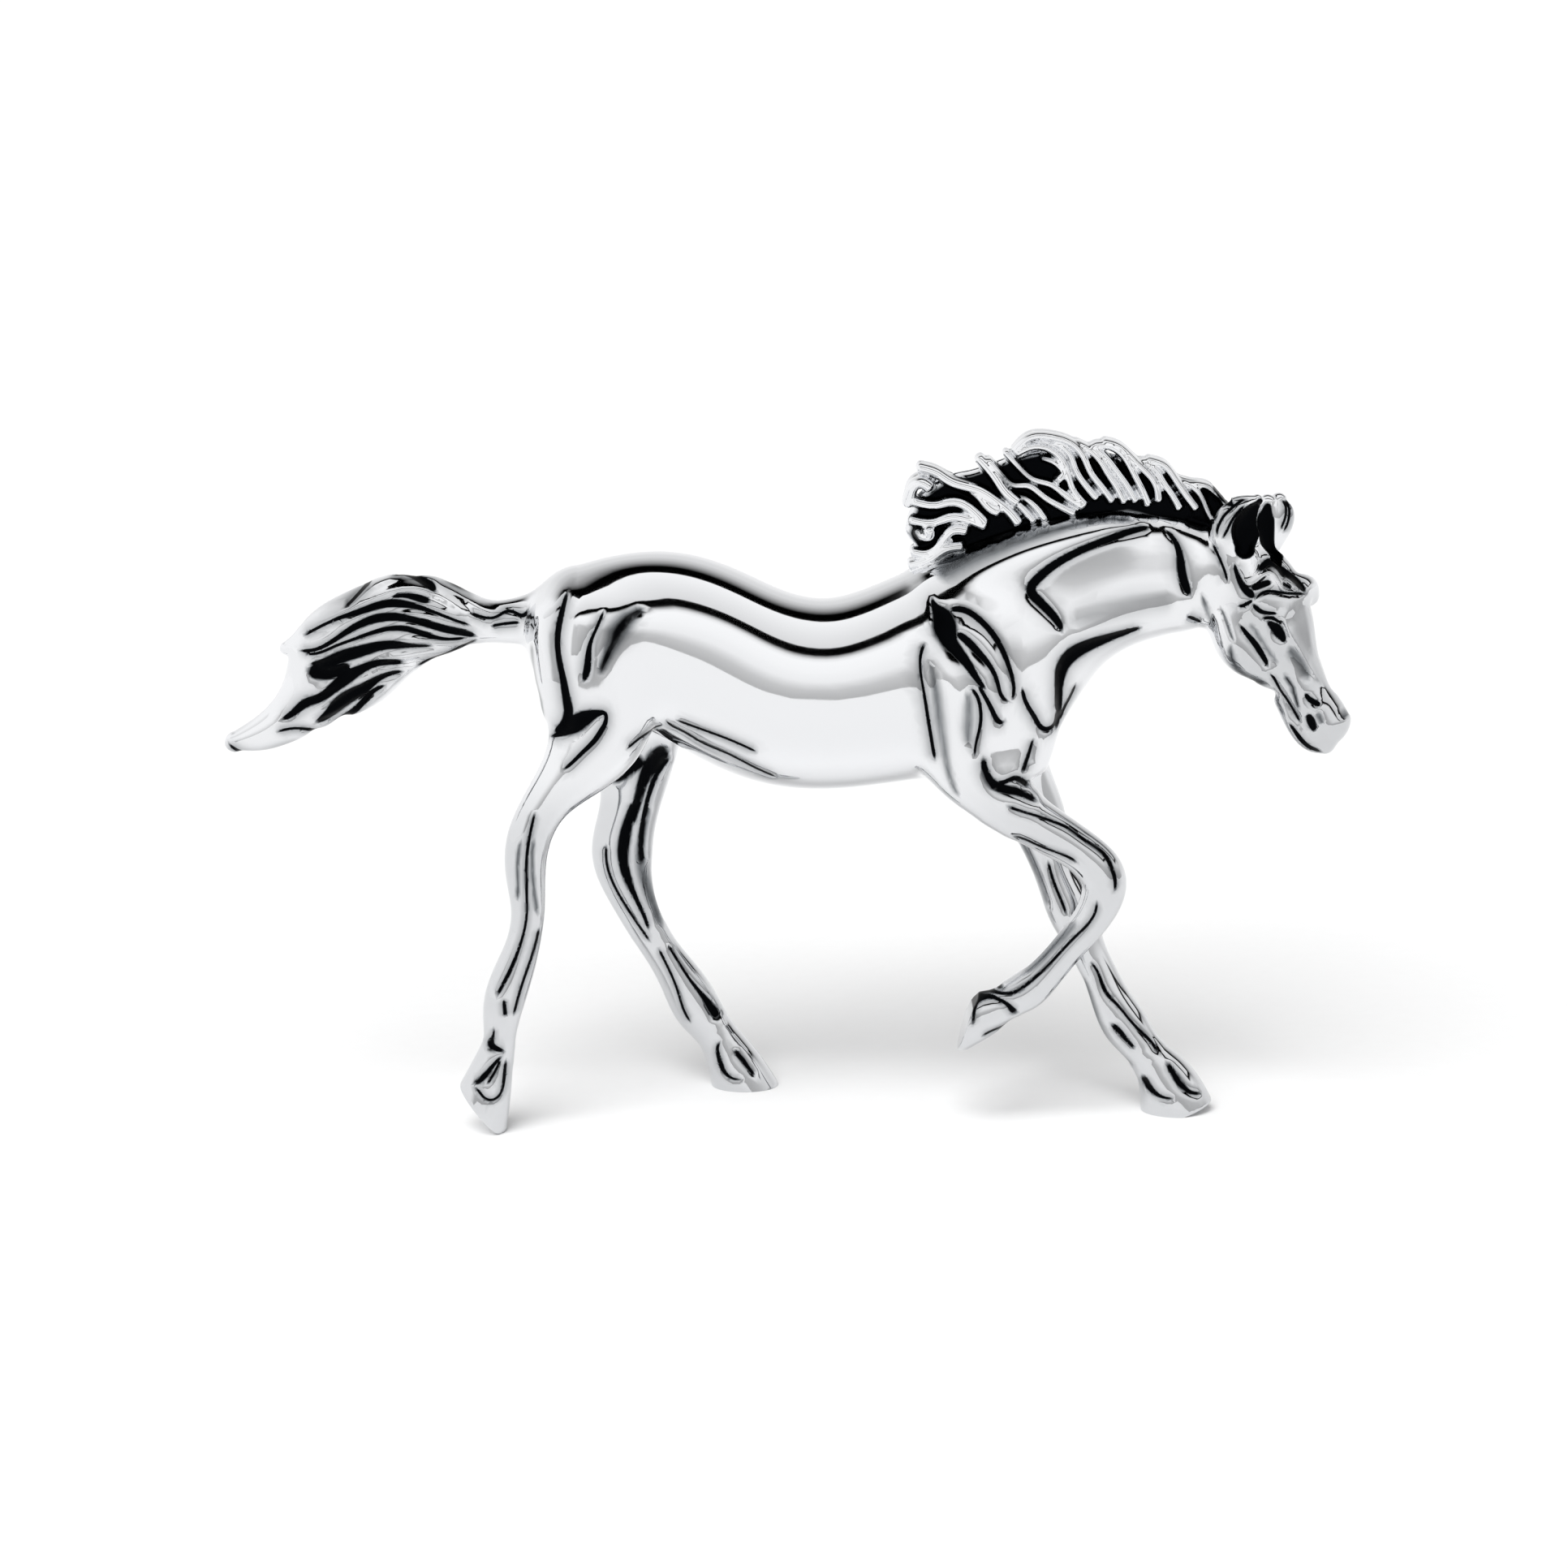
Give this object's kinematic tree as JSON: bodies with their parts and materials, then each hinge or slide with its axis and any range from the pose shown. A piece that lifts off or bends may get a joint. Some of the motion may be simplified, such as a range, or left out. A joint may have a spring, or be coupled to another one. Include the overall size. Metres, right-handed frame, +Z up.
{
  "type": "horse figurine",
  "caption": "Polished silver foal, cast in one piece, walking with its right forefoot raised, head low, mane and tail in carved wavy locks.",
  "frame": {"origin": "centre of the bounding box's base, on the ground between the hooves", "axes": "+X toward the muzzle, +Z up, the foal's right side faces -Y"},
  "size_m": [0.12, 0.0211, 0.0748],
  "materials": {
    "silver": "mirror-polished silver with blackened recesses in mane, tail and ears"
  },
  "bodies": {
    "root": {"foal": "silver"}
  },
  "joints": []
}
